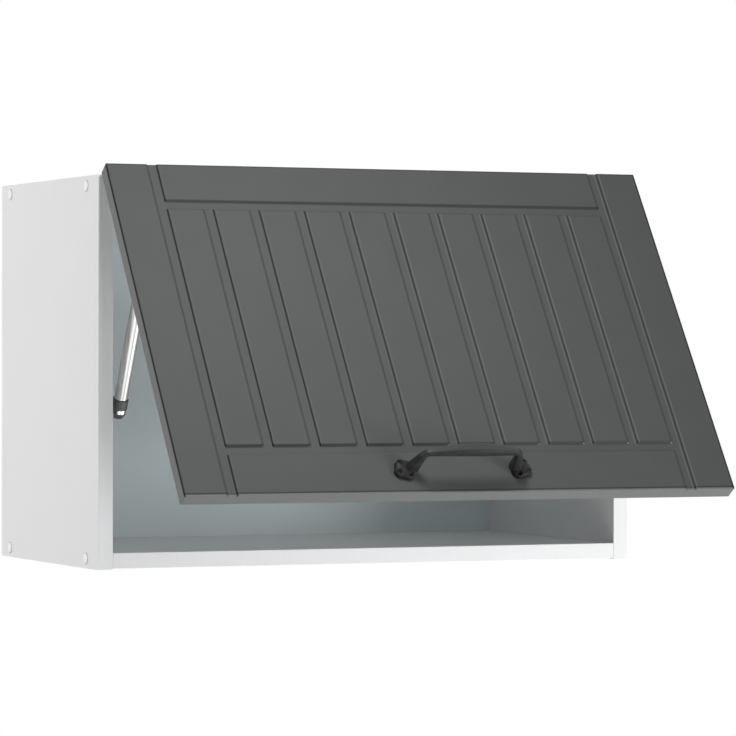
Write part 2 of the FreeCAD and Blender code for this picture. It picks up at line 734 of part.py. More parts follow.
def make_struts():
    """Gas struts: tube and foot slide on the rod, whose head turns on the door's ball stud."""
    head = strut_head_shut - hinge_point
    turn = Rotation(x_axis, -rest_angle)
    head_rest = hinge_point + turn.multVec(head)
    line = head_rest - strut_foot
    length = line.Length
    lean = math.degrees(math.atan2(-line.y, line.z))
    set_up = Placement(strut_foot, Rotation(x_axis, lean))

    tube_top = foot_neck + tube_length
    bore_radius = tube_radius - tube_wall
    tube = turned([
        (0, foot_neck),
        (tube_radius - tube_lip_chamfer, foot_neck),
        (tube_radius, foot_neck + tube_lip_chamfer),
        (tube_radius, tube_top - tube_lip_chamfer),
        (tube_radius - tube_lip_chamfer, tube_top),
        (bore_radius, tube_top),
        (bore_radius, foot_neck + tube_floor),
        (0, foot_neck + tube_floor),
    ])
    gland = turned([
        (rod_radius + running_clearance, tube_top - gland_length),
        (bore_radius - running_clearance, tube_top - gland_length),
        (bore_radius - running_clearance, tube_top),
        (tube_radius - tube_lip_chamfer, tube_top),
        (tube_radius - 2 * tube_lip_chamfer, tube_top + gland_flange),
        (rod_radius + running_clearance, tube_top + gland_flange),
    ])
    clip_low = clip_rise - clip_width / 2
    clip_high = clip_rise + clip_width / 2
    groove_radius = foot_radius - clip_thickness - seat_clearance
    foot = turned([
        (0, -foot_tail),
        (foot_tip_radius, -foot_tail),
        (foot_radius, clip_low - foot_rim),
        (foot_radius, clip_low - seat_clearance),
        (groove_radius, clip_low - seat_clearance),
        (groove_radius, clip_high + seat_clearance),
        (foot_radius, clip_high + seat_clearance),
        (foot_radius, foot_neck - foot_rim / 2),
        (foot_radius - foot_rim / 2, foot_neck),
        (0, foot_neck),
    ])
    clip_inner = groove_radius + seat_clearance
    clip = turned([
        (clip_inner, clip_low),
        (foot_radius + seat_clearance, clip_low),
        (foot_radius + seat_clearance, clip_high),
        (clip_inner, clip_high),
    ])
    flat_side = block(foot_flat, foot_flat + foot_radius, -foot_radius - overrun, foot_radius + overrun,
                      -foot_tail - overrun, foot_neck / 2)
    mouth = rod_between(Vector(foot_flat, 0, 0), -x_axis, foot_mouth_radius, foot_mouth_depth)
    foot = drilled(foot, [flat_side, mouth])
    clip_opening = block(clip_reach, clip_reach + foot_radius, -foot_radius - overrun, foot_radius + overrun,
                         clip_low - overrun, clip_high + overrun)
    clip = clip.cut(clip_opening)

    rod_top = length - head_neck + head_grip_depth
    rod_foot = rod_top - rod_length
    rod = turned([
        (0, rod_foot),
        (rod_radius, rod_foot),
        (rod_radius, rod_top),
        (0, rod_top),
    ])
    piston_radius = bore_radius - seat_clearance
    piston = turned([
        (rod_radius + running_clearance, rod_foot),
        (piston_radius, rod_foot),
        (piston_radius, rod_foot + piston_length),
        (rod_radius + running_clearance, rod_foot + piston_length),
    ])
    head_base = length - head_neck
    head_solid = turned([
        (0, head_base),
        (head_waist_radius, head_base),
        (head_waist_radius, length - head_radius),
        (head_radius, length - head_radius / 2),
        (head_radius, length + head_tail / 2),
        (head_radius / 2, length + head_tail),
        (0, length + head_tail),
    ])
    ball_place = Vector(0, 0, length)
    head_solid = drilled(head_solid, [
        Part.makeSphere(ball_radius + running_clearance, ball_place),
        rod_between(ball_place, -x_axis, ball_shank_radius + free_clearance, head_radius + overrun),
        rod_between(Vector(0, 0, head_base - overrun), z_axis, rod_radius + running_clearance,
                    head_grip_depth + running_clearance + overrun),
    ])

    pieces = {"tube": tube, "gland": gland, "foot": foot, "clip": clip, "rod": rod, "piston": piston,
              "head": head_solid}
    for piece_name, piece in pieces.items():
        piece.Placement = set_up.multiply(piece.Placement)
        for name, sign in sides:
            parts[name + "_strut_" + piece_name] = for_side(piece, sign)

    side_bracket = strut_side_bracket()
    door_bracket = strut_door_bracket()
    side_screws = [pointed(small_screw(), place, x_axis) for place in strut_side_screw_places()]
    door_screws = [pointed(small_screw(), place, -y_axis) for place in strut_door_screw_places()]
    for name, sign in sides:
        parts[name + "_strut_side_bracket"] = for_side(side_bracket, sign)
        parts[name + "_strut_door_bracket"] = swung(for_side(door_bracket, sign))
    parts["strut_side_screws"] = group(side_screws + [mirrored(screw) for screw in side_screws])
    parts["strut_door_screws"] = swung(group(door_screws + [mirrored(screw) for screw in door_screws]))

    head_open = hinge_point + Rotation(x_axis, -open_angle).multVec(head)
    open_line = head_open - strut_foot
    open_lean = math.degrees(math.atan2(-open_line.y, open_line.z))
    travel = open_angle - rest_angle
    print("strut head", head_rest, "lean", lean, "length", length, "open length", open_line.Length)
    print("strut turn per door degree", (open_lean - lean) / travel)
    print("strut stretch per door degree", (open_line.Length - length) / travel)


make_carcass()
make_wall_brackets()
make_hinges()
make_door()
make_handle()
make_struts()

os.makedirs("parts", exist_ok=True)
for node, shape in sorted(parts.items()):
    shape.exportStep("parts/" + node + ".step")
    print(node, "solids", len(shape.Solids), "volume", round(shape.Volume, 1), "valid", shape.isValid())
print("nodes", len(parts))
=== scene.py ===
# %% [markdown]
# # A wall cabinet with a lift-up door
# The cabinet was drawn as solids first, so its boards, hinges, struts and screws already stand in
# their places and move as they should. This lesson loads that frame, models again the pieces that
# need softer shapes than a plain solid has, and gives every surface a finish made from nodes.

# %% Load the frame
import json
import math

import bmesh
import bpy
from mathutils import Matrix, Vector


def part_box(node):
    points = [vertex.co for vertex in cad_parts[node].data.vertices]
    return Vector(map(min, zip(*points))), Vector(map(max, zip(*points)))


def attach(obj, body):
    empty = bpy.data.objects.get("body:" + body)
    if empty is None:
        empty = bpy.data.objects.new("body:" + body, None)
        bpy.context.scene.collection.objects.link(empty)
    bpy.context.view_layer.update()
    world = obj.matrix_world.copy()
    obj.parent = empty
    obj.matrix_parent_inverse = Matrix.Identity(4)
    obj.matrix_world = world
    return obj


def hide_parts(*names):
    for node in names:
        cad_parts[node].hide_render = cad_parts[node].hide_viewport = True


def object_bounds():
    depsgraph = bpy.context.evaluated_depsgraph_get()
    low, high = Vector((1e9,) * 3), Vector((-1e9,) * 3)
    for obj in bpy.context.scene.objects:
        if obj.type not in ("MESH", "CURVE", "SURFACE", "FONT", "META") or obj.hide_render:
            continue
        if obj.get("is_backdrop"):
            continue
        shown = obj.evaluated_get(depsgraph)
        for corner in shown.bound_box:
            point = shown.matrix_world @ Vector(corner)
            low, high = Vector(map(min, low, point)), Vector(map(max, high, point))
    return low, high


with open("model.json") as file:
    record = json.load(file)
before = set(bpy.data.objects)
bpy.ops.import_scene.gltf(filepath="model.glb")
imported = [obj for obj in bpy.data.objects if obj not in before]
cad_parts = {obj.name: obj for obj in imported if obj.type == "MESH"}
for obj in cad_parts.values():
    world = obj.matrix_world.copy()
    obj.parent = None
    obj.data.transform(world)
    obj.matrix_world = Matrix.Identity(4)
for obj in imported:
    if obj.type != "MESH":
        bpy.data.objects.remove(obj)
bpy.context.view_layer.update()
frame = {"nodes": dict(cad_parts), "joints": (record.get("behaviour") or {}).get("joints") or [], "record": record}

mm = 0.001
scene = bpy.context.scene

# %% [markdown]
# ## Writing shader maths as plain Python
# A finish is a graph of nodes, and a graph is tiring to write by hand. One small class wraps a
# socket. Sums and products of wrapped sockets add Math nodes, and every other node comes from one
# method that sets the node's settings first and then its sockets.


# %% A socket that can be added and multiplied
class Wire:
    """An output socket of a node tree."""

    def __init__(self, tree, socket):
        self.tree = tree
        self.socket = socket

    def node(self, kind, settings, sockets, output=0):
        """A new node with its settings and its sockets' values or links, and one of its outputs."""
        made = self.tree.nodes.new(kind)
        for name, value in settings.items():
            setattr(made, name, value)
        for key, value in sockets.items():
            if isinstance(value, Wire):
                self.tree.links.new(value.socket, made.inputs[key])
            else:
                made.inputs[key].default_value = value
        return Wire(self.tree, made.outputs[output]) if len(made.outputs) else None

    def maths(self, operation, first, second=0.0):
        return self.node("ShaderNodeMath", {"operation": operation}, {0: first, 1: second})

    def __add__(self, other):
        return self.maths("ADD", self, other)

    def __sub__(self, other):
        return self.maths("SUBTRACT", self, other)

    def __rsub__(self, other):
        return self.maths("SUBTRACT", other, self)

    def __mul__(self, other):
        return self.maths("MULTIPLY", self, other)

    __radd__ = __add__
    __rmul__ = __mul__

    def away(self):
        """The distance from zero."""
        return self.maths("ABSOLUTE", self)

    def lesser(self, other):
        return self.maths("MINIMUM", self, other)

    def step(self, start, end):
        """A smooth step from 0 at start to 1 at end."""
        settings = {"interpolation_type": "SMOOTHSTEP"}
        return self.node("ShaderNodeMapRange", settings, {0: self, 1: start, 2: end, 3: 0.0, 4: 1.0})

    def fade(self, start, end):
        """A smooth step down from 1 at start to 0 at end."""
        return 1.0 - self.step(start, end)


print("shader maths ready")

# %% [markdown]
# ## Starting and ending a finish
# Every finish reads Object coordinates. The pieces lie at the origin with their place in the mesh, so
# these are metres in the cabinet's own frame, and a pattern keeps its real scale on every board.


# %% The two ends of a finish
def start_finish(name):
    """A new material, with its Object coordinates as a wire."""
    material = bpy.data.materials.new(name)
    material.use_nodes = True
    tree = material.node_tree
    tree.nodes.clear()
    coordinates = tree.nodes.new("ShaderNodeTexCoord")
    return material, Wire(tree, coordinates.outputs["Object"])


def end_finish(place, sockets):
    """The shader of a finish and its output."""
    shader = place.node("ShaderNodeBsdfPrincipled", {}, sockets)
    place.node("ShaderNodeOutputMaterial", {}, {"Surface": shader})


print("finishes can be started and ended")


# %% Patterns and places
def noise(place, scale, detail=2.0):
    """Cloudy values about one half; the scale is in features per metre."""
    return place.node("ShaderNodeTexNoise", {}, {"Vector": place, "Scale": scale, "Detail": detail})


def stretched(place, scale, turn=(0.0, 0.0, 0.0)):
    """Coordinates that are turned and drawn out by a Mapping node."""
    return place.node("ShaderNodeMapping", {}, {"Vector": place, "Rotation": turn, "Scale": scale})


def coordinate(place, axis):
    """One of a place's three coordinates."""
    return place.node("ShaderNodeSeparateXYZ", {}, {"Vector": place}, output=axis)


print("patterns ready")


# %% Colours and bumps
def blend(place, factor, first, second):
    """One colour passing into another."""
    settings = {"data_type": "RGBA"}
    return place.node("ShaderNodeMix", settings, {0: factor, 6: first, 7: second}, output=2)


def grey(level):
    """A neutral colour."""
    return (level, level, level, 1.0)


def bumped(place, height, depth):
    """A normal from a height that goes from 0 to 1 and is depth metres deep."""
    return place.node("ShaderNodeBump", {}, {"Height": height, "Distance": depth, "Strength": 1.0})


print("colours and bumps ready")

# %% [markdown]
# ## White boards
# The box is chipboard faced with white melamine. Its pressed film has a fine pearl grain that only
# shows as a softer gloss. Two noises do this: a fine one for the grain, a wide one for faint clouds.
# The edge bands are drawn plastic, so their noise is stretched along the upright ones.

# %% Melamine boards
white_board, place = start_finish("white_board")
grain = noise(place, 1400.0, 3.0)
clouds = noise(place, 14.0)
pearl = clouds * 0.6 + grain * 0.4
end_finish(place, {
    "Base Color": blend(place, pearl, (0.775, 0.777, 0.780, 1.0), grey(0.815)),
    "Roughness": 0.36 + 0.12 * grain,
    "Specular IOR Level": 0.35,
    "Normal": bumped(place, grain, 0.06 * mm),
})
print("white boards")

# %% Edge bands
white_edging, place = start_finish("white_edging")
drawn = noise(stretched(place, (900.0, 900.0, 12.0)), 1.0)
end_finish(place, {
    "Base Color": blend(place, drawn, (0.870, 0.876, 0.884, 1.0), (0.910, 0.915, 0.922, 1.0)),
    "Roughness": 0.30 + 0.10 * drawn,
    "Specular IOR Level": 0.35,
    "Normal": bumped(place, drawn, 0.03 * mm),
})
print("edge bands")

# %% [markdown]
# ## The back panel
# Hardboard is lacquered on the side that faces the room and bare brown fibre on the side that faces
# the wall. One finish does both: the depth of a point says which side it is on, and stretched noises
# make the pressed fibres.

# %% Lacquered hardboard
hardboard, place = start_finish("hardboard")
lacquer_ends = -2.2 * mm
fibre_starts = -0.6 * mm
wall_side = coordinate(place, "Y").step(lacquer_ends, fibre_starts)
fibres = noise(stretched(place, (260.0, 260.0, 700.0)), 1.0, 4.0)
specks = noise(place, 900.0)
lacquer = blend(place, specks, (0.765, 0.861, 0.877, 1.0), (0.81, 0.911, 0.928, 1.0))
bare = blend(place, fibres.step(0.3, 0.7), (0.17, 0.095, 0.05, 1.0), (0.33, 0.20, 0.115, 1.0))
end_finish(place, {
    "Base Color": blend(place, wall_side, lacquer, bare),
    "Roughness": 0.42 + 0.4 * wall_side,
    "Specular IOR Level": 0.3,
    "Normal": bumped(place, fibres, 0.08 * mm),
})
print("hardboard")

# %% [markdown]
# ## The door's place
# The door was drawn shut and then lifted about its hinge pins. Modelling it shut keeps every edge
# square to an axis, so the same turn is put on at the end, as one matrix taken from the joint.

# %% The matrix that lifts the door
door_joint = next(joint for joint in frame["joints"] if joint["name"] == "door_swing")
hinge_point = Vector(door_joint["pos_m"])
rest_angle = math.radians(-door_joint["range_deg"][0])
lifted = (Matrix.Translation(hinge_point) @ Matrix.Rotation(-rest_angle, 4, "X")
          @ Matrix.Translation(-hinge_point))
print("door lifted by", round(math.degrees(rest_angle), 2), "degrees about", tuple(hinge_point))

# %% [markdown]
# ## Sizes of the door
# The front is one board, milled so that a stile each side, a rail at the top and bottom and ten planks
# stand proud of the channels between them. Ten planks and two stiles share the width evenly, so one
# strip's width gives all the upright lines. The finish and the mesh both work from these.

# %% Outline and middle lines of the channels
door_half_width = 298.5 * mm
door_top = 199.5 * mm
door_bottom = -198.5 * mm
door_front = -332.0 * mm
door_back = -316.0 * mm
top_rail = 51.0 * mm
bottom_rail = 52.2 * mm
plank_count = 10
strip = 2 * door_half_width / (plank_count + 2)
stile_line = door_half_width - strip
top_line = door_top - top_rail
bottom_line = door_bottom + bottom_rail
print("channels every", round(strip / mm, 2), "mm")

# %% [markdown]
# ## The door's film
# The milled board lies under a dark grey film, with its back left white. Its finish carries painted
# shade over the outer arris and over the walls of the channels, painted highlights along the channels'
# mouths, painted glints at the planks' corners and painted light on the door's thickness. Edge masks
# from the mesh would find every edge alike. Instead the finish undoes the lift with a Mapping node, so
# that it knows how deep and how far from each line a point is. Products of smooth steps make the masks:
# the painted shade mixes a second, darker shader in, and the others blend the film's colour.

# %% Places on the shut door
door_film, place = start_finish("door_film")
settled = stretched(place, (1.0, 1.0, 1.0), turn=(rest_angle, 0.0, 0.0))
shift = lifted.inverted() @ Vector((0.0, 0.0, 0.0))
across = coordinate(settled, "X")
inward = coordinate(settled, "Y") + (shift.y - door_front)
height = coordinate(settled, "Z") + shift.z
print("coordinates moved by", tuple(round(value, 4) for value in shift))

# %% Distances from the outline and the channels
to_left = door_half_width + across
to_right = door_half_width - across
to_top = door_top - height
from_base = height - door_bottom
to_outline = to_left.lesser(to_right).lesser(to_top).lesser(from_base)
from_top = height - top_line
from_bottom = height - bottom_line
past_stile = across.away() - stile_line
past_line = across.maths("MODULO", across + (plank_count + 0.5) * strip, strip) - strip / 2


def within(value, band):
    """1 inside a band, which is its low end, its high end and their softness in millimetres."""
    low, high, soft = band
    rise = value.step((low - soft) * mm, (low + soft) * mm)
    return rise * value.fade((high - soft) * mm, (high + soft) * mm)


print("distances on the door ready")

# %% Where there are channels
edge_start = 4.0 * mm
edge_end = 5.0 * mm
plank_corner = 5.5 * mm
line_softness = 0.2 * mm
channel = (-5.0, 5.0, 0.6)
stile_reach = 24.0
beside = (-stile_reach, stile_reach, 0.5)
inner = past_stile.fade(-line_softness, line_softness)
between_stiles = past_stile.fade(-edge_end, -edge_start)
off_stiles = past_stile.fade(-(stile_reach + 1.0) * mm, -stile_reach * mm)
crossings = within(from_top, channel) + within(from_bottom, channel)
beside_stiles = within(past_stile, beside) * (1.0 - crossings * inner)
above_rail = from_bottom.step(edge_start, edge_end)
below_rail = from_top.fade(-edge_end, -edge_start)
uprights = off_stiles * above_rail * below_rail + beside_stiles
plank_ends = past_line.away().step(edge_start, plank_corner) * between_stiles
print("channels reach", edge_end / mm, "mm from their middle lines")

# %% Painted shade on the upright walls
left_wall = (-6.6, -4.0, 0.9)
right_wall = (4.4, 5.9, 0.55)
shade_turns = (-200.0 * mm, 250.0 * mm)
face_ends = (1.3 * mm, 1.6 * mm)
rightwards = across.step(*shade_turns)
on_front = inward.fade(*face_ends)
# Painted shade on the channels' upright walls, weaker towards the right.
walls = within(past_line, left_wall) * 0.42
walls = walls + within(past_line, right_wall) * (0.85 - 0.25 * rightwards)
upright_shade = walls * uprights * on_front
print("upright walls at", left_wall[:2], "and", right_wall[:2], "mm")

# %% Painted shade on the level walls
upper_wall = (3.8, 6.9, 0.9)
lower_wall = (-4.8, -3.6, 0.5)
plank_foot = (3.2, 6.6, 0.8)
# Painted shade and painted shadow on the down-facing walls under the top rail and at the planks' feet.
rail_shade = within(from_top, upper_wall) * 0.62 + within(from_top, lower_wall) * 0.12
foot_shade = within(from_bottom, plank_foot) * plank_ends * (0.66 - 0.26 * rightwards)
foot_shade = foot_shade + within(from_bottom, lower_wall) * between_stiles * rightwards * 0.15
level_shade = rail_shade * between_stiles + foot_shade
print("level walls at", upper_wall[:2], "and", lower_wall[:2], "mm")

# %% Painted shade along the outline
thin_arris = (0.9 * mm, 1.9 * mm)
wide_arris = (1.4 * mm, 2.6 * mm)
base_bend = (2.0, 3.6, 0.6)
arris_ends = (0.7 * mm, 1.6 * mm)
near_face = inward.fade(*arris_ends)
# Painted shade along the outer arris and above the lower bend.
arris = to_left.fade(*thin_arris) + to_right.fade(*wide_arris) * 0.8
arris = arris + to_top.fade(*thin_arris) * 0.6
outline_shade = within(from_base, base_bend) * near_face * 0.6 + arris * near_face
print("lower bend at", base_bend[:2], "mm")

# %% Painted glints at the corners and the whole painted shade
glint_across = (-6.6, -4.8, 0.4)
glint_up = (3.8, 5.4, 0.4)
# Painted glints at the planks' lower right corners, stronger towards the right.
painted_glints = within(past_line, glint_across) * within(from_bottom, glint_up) * between_stiles
painted_glints = painted_glints * (0.4 + 0.5 * rightwards)
painted_shade = (upright_shade + level_shade + outline_shade).lesser(1.0) * (1.0 - painted_glints)
print("rubbed corners at", glint_across[:2], "by", glint_up[:2], "mm")

# %% Painted highlights along the mouths and painted light on the thickness
right_mouth = (6.8, 7.8, 0.4)
right_floor = (2.3, 3.6, 0.5)
base_edge_ends = (1.2 * mm, 2.4 * mm)
thickness_starts = (1.6 * mm, 2.4 * mm)
outline_ends = (2.4 * mm, 2.6 * mm)
# Painted light on the door's thickness, most along the bottom.
painted_light_lower_edge = from_base.fade(*base_edge_ends)
edges = inward.step(*thickness_starts) * to_outline.fade(*outline_ends)
# Painted highlights along the channels' mouths and floors, stronger towards the right.
mouths = within(past_line, right_mouth) * (0.15 + 0.5 * rightwards)
mouths = mouths + within(past_line, right_floor) * rightwards * 0.5
painted_highlights = mouths * uprights * on_front
print("lighter lines at", right_floor[:2], "and", right_mouth[:2], "mm")

# %% The film
pores = noise(place, 1100.0, 3.0)
mottle = noise(place, 22.0)
tone_and_painted_light = blend(place, mottle, (0.092, 0.097, 0.0955, 1.0), (0.102, 0.107, 0.1055, 1.0))
# Random tone first, then painted highlights, painted glints and painted light on the thickness.
tone_and_painted_light = blend(place, painted_highlights, tone_and_painted_light, (0.210, 0.215, 0.213, 1.0))
tone_and_painted_light = blend(place, painted_glints, tone_and_painted_light, (0.30, 0.305, 0.303, 1.0))
tone_and_painted_light = blend(place, edges, tone_and_painted_light, (0.145, 0.150, 0.148, 1.0))
film = place.node("ShaderNodeBsdfPrincipled", {}, {
    "Base Color": blend(place, painted_light_lower_edge, tone_and_painted_light, (0.190, 0.195, 0.193, 1.0)),
    "Roughness": 0.44 + 0.12 * pores,
    "Specular IOR Level": 0.12,
    "Normal": bumped(place, pores, 0.05 * mm),
})
# A near-black shader that is mixed in where the shade is painted.
painted_shade_shader = place.node("ShaderNodeBsdfPrincipled", {}, {
    "Base Color": (0.011, 0.012, 0.012, 1.0),
    "Roughness": 0.6,
    "Specular IOR Level": 0.1,
})
door_surface = place.node("ShaderNodeMixShader", {}, {0: painted_shade, 1: film, 2: painted_shade_shader})
place.node("ShaderNodeOutputMaterial", {}, {"Surface": door_surface})
print("door film with", len(door_film.node_tree.nodes), "nodes")

# %% The white backing
white_backing, place = start_finish("white_backing")
grain = noise(place, 1200.0, 3.0)
end_finish(place, {
    "Base Color": blend(place, grain, (0.66, 0.66, 0.655, 1.0), (0.72, 0.72, 0.715, 1.0)),
    "Roughness": 0.42 + 0.12 * grain,
    "Specular IOR Level": 0.35,
    "Normal": bumped(place, grain, 0.05 * mm),
})
print("white backing")

# %% [markdown]
# ## Milling the door
# It could be a board with channels cut out by booleans, but the other way round is cleaner: one flat
# face at the channels' floor is cut along the channels' middle lines, and every cell is inset twice,
# first level for the floor and then rising for the sloped wall. The mitres at the corners come free.
# The face starts a little too large, because its outer cells are inset too, and is trimmed afterwards.


# %% Finding and cutting cells
def cells_between(bm, low_x, high_x, low_z, high_z):
    """The faces whose middle lies in a range."""
    found = []
    for face in bm.faces:
        middle = face.calc_center_median()
        if low_x < middle.x < high_x and low_z < middle.z < high_z:
            found.append(face)
    return found


def slice_cells(bm, faces, point, normal):
    """Cuts some faces along a plane."""
    geometry = list(faces)
    for face in faces:
        geometry.extend(face.edges)
        geometry.extend(face.verts)
    bmesh.ops.bisect_plane(bm, geom=list(dict.fromkeys(geometry)), plane_co=point, plane_no=normal)


print("cells can be cut")

# %% A flat face in cells
sideways = Vector((1.0, 0.0, 0.0))
upwards = Vector((0.0, 0.0, 1.0))
channel_depth = 1.2 * mm
spare = 9.0 * mm
half_height = (door_top - door_bottom) / 2
face_middle = (0.0, door_front + channel_depth, (door_top + door_bottom) / 2)
door = bmesh.new()
bmesh.ops.create_grid(door, x_segments=1, y_segments=1, size=1.0,
                      matrix=Matrix.Rotation(math.pi / 2, 4, "X"))
bmesh.ops.scale(door, vec=(door_half_width + spare, 1.0, half_height + spare), verts=door.verts)
bmesh.ops.translate(door, vec=face_middle, verts=door.verts)
for side in (-1, 1):
    slice_cells(door, door.faces[:], sideways * (side * stile_line), sideways)
for line in (top_line, bottom_line):
    middle_cells = cells_between(door, -stile_line, stile_line, -1.0, 1.0)
    slice_cells(door, middle_cells, upwards * line, upwards)
for index in range(1, plank_count):
    planks = cells_between(door, -stile_line, stile_line, bottom_line, top_line)
    slice_cells(door, planks, sideways * (-stile_line + index * strip), sideways)
cells = door.faces[:]
print("cells", len(cells))

# %% Raising the cells and trimming the outline
half_floor = 4.5 * mm
channel_slope = 1.6 * mm
bmesh.ops.inset_individual(door, faces=cells, thickness=half_floor, use_even_offset=True)
bmesh.ops.inset_individual(door, faces=cells, thickness=channel_slope, depth=channel_depth,
                           use_even_offset=True)
trims = [
    (sideways * door_half_width, sideways),
    (sideways * -door_half_width, -sideways),
    (upwards * door_top, upwards),
    (upwards * door_bottom, -upwards),
]
for point, normal in trims:
    everything = door.verts[:] + door.edges[:] + door.faces[:]
    bmesh.ops.bisect_plane(door, geom=everything, plane_co=point, plane_no=normal, clear_outer=True)
print("face of the door", len(door.faces))

# %% Giving the door its thickness
outline = [edge for edge in door.edges if edge.is_boundary]
made = bmesh.ops.extrude_edge_only(door, edges=outline)
for vert in made["geom"]:
    if isinstance(vert, bmesh.types.BMVert):
        vert.co.y = door_back
rear = [edge for edge in door.edges if edge.is_boundary]
backing = bmesh.ops.holes_fill(door, edges=rear, sides=len(rear))["faces"]
for face in backing:
    face.material_index = 1
bmesh.ops.recalc_face_normals(door, faces=door.faces)
print("door closed", all(edge.is_manifold for edge in door.edges))

# %% [markdown]
# ## Rounding the door's edges
# The outer arris is rounded to 2.5 mm, more along the bottom, and the channels only a little. A
# Bevel modifier does all of them at once, because each edge carries its own bevel weight. Weighted
# normals then keep the flat parts flat, so that only the rounded strips catch the light.

# %% Radius of each edge
base_arris = 4.0 * mm
outer_arris = 2.5 * mm
corner_arris = 1.5 * mm
mouth_arris = 0.65 * mm
floor_arris = 0.5 * mm
mitre_arris = 0.4 * mm
rear_arris = 0.4 * mm
nearby = 0.01 * mm
flat_angle = 0.02
weight_layer = door.edges.layers.float.new("bevel_weight_edge")
outline_edges = set(outline)
rear_edges = set(rear)


def arris_radius(edge):
    """How far an edge of the door is rounded."""
    depths = [vert.co.y - door_front for vert in edge.verts]
    on_face = all(abs(depth) < nearby for depth in depths)
    on_floor = all(abs(depth - channel_depth) < nearby for depth in depths)
    at_base = all(vert.co.z < door_bottom + nearby for vert in edge.verts)
    if edge.calc_face_angle(0.0) < flat_angle:
        return 0.0
    if edge in outline_edges and on_face:
        return base_arris if at_base else outer_arris
    if edge in rear_edges:
        return rear_arris
    if on_face:
        return mouth_arris
    if on_floor:
        return floor_arris
    if all(depth < 2 * channel_depth for depth in depths):
        return mitre_arris
    return corner_arris


for edge in door.edges:
    edge[weight_layer] = arris_radius(edge) / base_arris
print("rounded edges", sum(edge[weight_layer] > 0.0 for edge in door.edges))

# %% [markdown]
# ## Keeping a piece
# A modelled piece needs an object with its materials, a body to ride on, the nodes that it stands for
# and a material slot. All the pieces need the same, so one function does it.


# %% Turning a bmesh into a piece
def keep_piece(bm, name, body, nodes, materials):
    """An object from a bmesh, which rides on a body and stands for some nodes."""
    mesh = bpy.data.meshes.new(name)
    bm.to_mesh(mesh)
    bm.free()
    for material in materials:
        mesh.materials.append(material)
    piece = bpy.data.objects.new(name, mesh)
    scene.collection.objects.link(piece)
    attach(piece, body)
    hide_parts(*nodes)
    print(name, len(mesh.polygons), "faces")
    return piece


def smooth_faces(bm):
    for face in bm.faces:
        face.smooth = True


print("pieces can be kept")

# %% The milled door
smooth_faces(door)
bmesh.ops.transform(door, matrix=lifted, verts=door.verts)
door_materials = [door_film, white_backing]
milled_door = keep_piece(door, "milled_door", "door", ["door_panel"], door_materials)
rounding = milled_door.modifiers.new("rounding", "BEVEL")
rounding.limit_method = "WEIGHT"
rounding.width = base_arris
rounding.segments = 4
rounding.profile = 0.5
rounding.material = -1
milled_door.modifiers.new("flat_normals", "WEIGHTED_NORMAL").keep_sharp = True

# %% [markdown]
# ## Black iron
# The handle is cast, blackened and waxed. Cast iron is uneven, so a wide noise gives low hammered
# swells and a fine one the sandy skin, and the wax makes the roughness vary with both. Painted light
# makes the upper side of the grip a lighter grey. That is the part above the bow's middle line, and the
# line is nearly a parabola, so one square of the place along it tells which side a point is on.

# %% Sizes of the handle
handle_half_spacing = 56.0 * mm
handle_height = 26.0 * mm
handle_line = door_bottom + handle_height
rosette_thickness = 7.0 * mm
foot_plane = door_front - rosette_thickness
bow_rise = 30.2 * mm
grip_sag_share = 0.21
grip_middle = lifted @ Vector((0.0, foot_plane - bow_rise, handle_line))
print("middle of the grip", tuple(round(value, 4) for value in grip_middle))

# %% Painted light on the grip's upper side
black_iron, place = start_finish("black_iron")
grip_light_softness = 1.5 * mm
grip_ends = (46.0 * mm, 53.0 * mm)
along = coordinate(place, "X")
above = coordinate(place, "Z") - grip_middle.z
sag = math.sin(rest_angle) * grip_sag_share * bow_rise / handle_half_spacing ** 2
outside = (above + along * along * sag).step(-grip_light_softness, grip_light_softness)
painted_grip_light = outside * along.away().fade(*grip_ends)
print("grip sags by", round(sag * handle_half_spacing ** 2 / mm, 2), "mm at its feet")

# %% Blackened cast metal
swells = noise(place, 110.0, 1.0)
sand = noise(place, 1500.0, 3.0)
hollow_iron = (0.022, 0.0223, 0.0226, 1.0)
raised_iron = (0.032, 0.0323, 0.0326, 1.0)
iron = blend(place, swells.step(0.35, 0.75), hollow_iron, raised_iron)
# The lighter grey on the grip's upper side is painted light.
end_finish(place, {
    "Base Color": blend(place, painted_grip_light, iron, (0.066, 0.067, 0.067, 1.0)),
    "Roughness": 0.30 + 0.10 * swells + 0.08 * sand,
    "Specular IOR Level": 0.12,
    "Normal": bumped(place, swells * 0.75 + sand * 0.25, 0.12 * mm),
})
print("black iron")

# %% [markdown]
# ## The bow of the handle
# The bow rises from two feet, leans inwards, bends and swells into a grip. A curve with a round bevel
# would give one round thickness all along. Instead a ring with flattened sides is extruded from
# station to station, and each new ring is moved, turned and scaled by the change between two station
# matrices. A subdivision surface makes the casting smooth.

# %% Stations along the bow
# Each is a share of the half spacing, a share of the rise and a radius in millimetres.
half_stations = [
    (1.0, -0.06, 6.9),
    (1.0, 0.02, 6.5),
    (0.982, 0.18, 5.6),
    (0.958, 0.41, 4.7),
    (0.934, 0.62, 4.0),
    (0.916, 0.745, 3.7),
    (0.884, 0.822, 3.6),
    (0.83, 0.86, 3.7),
    (0.71, 0.893, 4.3),
    (0.55, 0.937, 5.1),
    (0.39, 0.97, 5.7),
    (0.20, 0.993, 6.2),
    (0.0, 1.0, 6.4),
]
stations = [(share * handle_half_spacing, foot_plane - rise * bow_rise, radius * mm)
            for share, rise, radius in half_stations]
stations += [(-x, y, radius) for x, y, radius in reversed(stations[:-1])]
print("stations", len(stations))


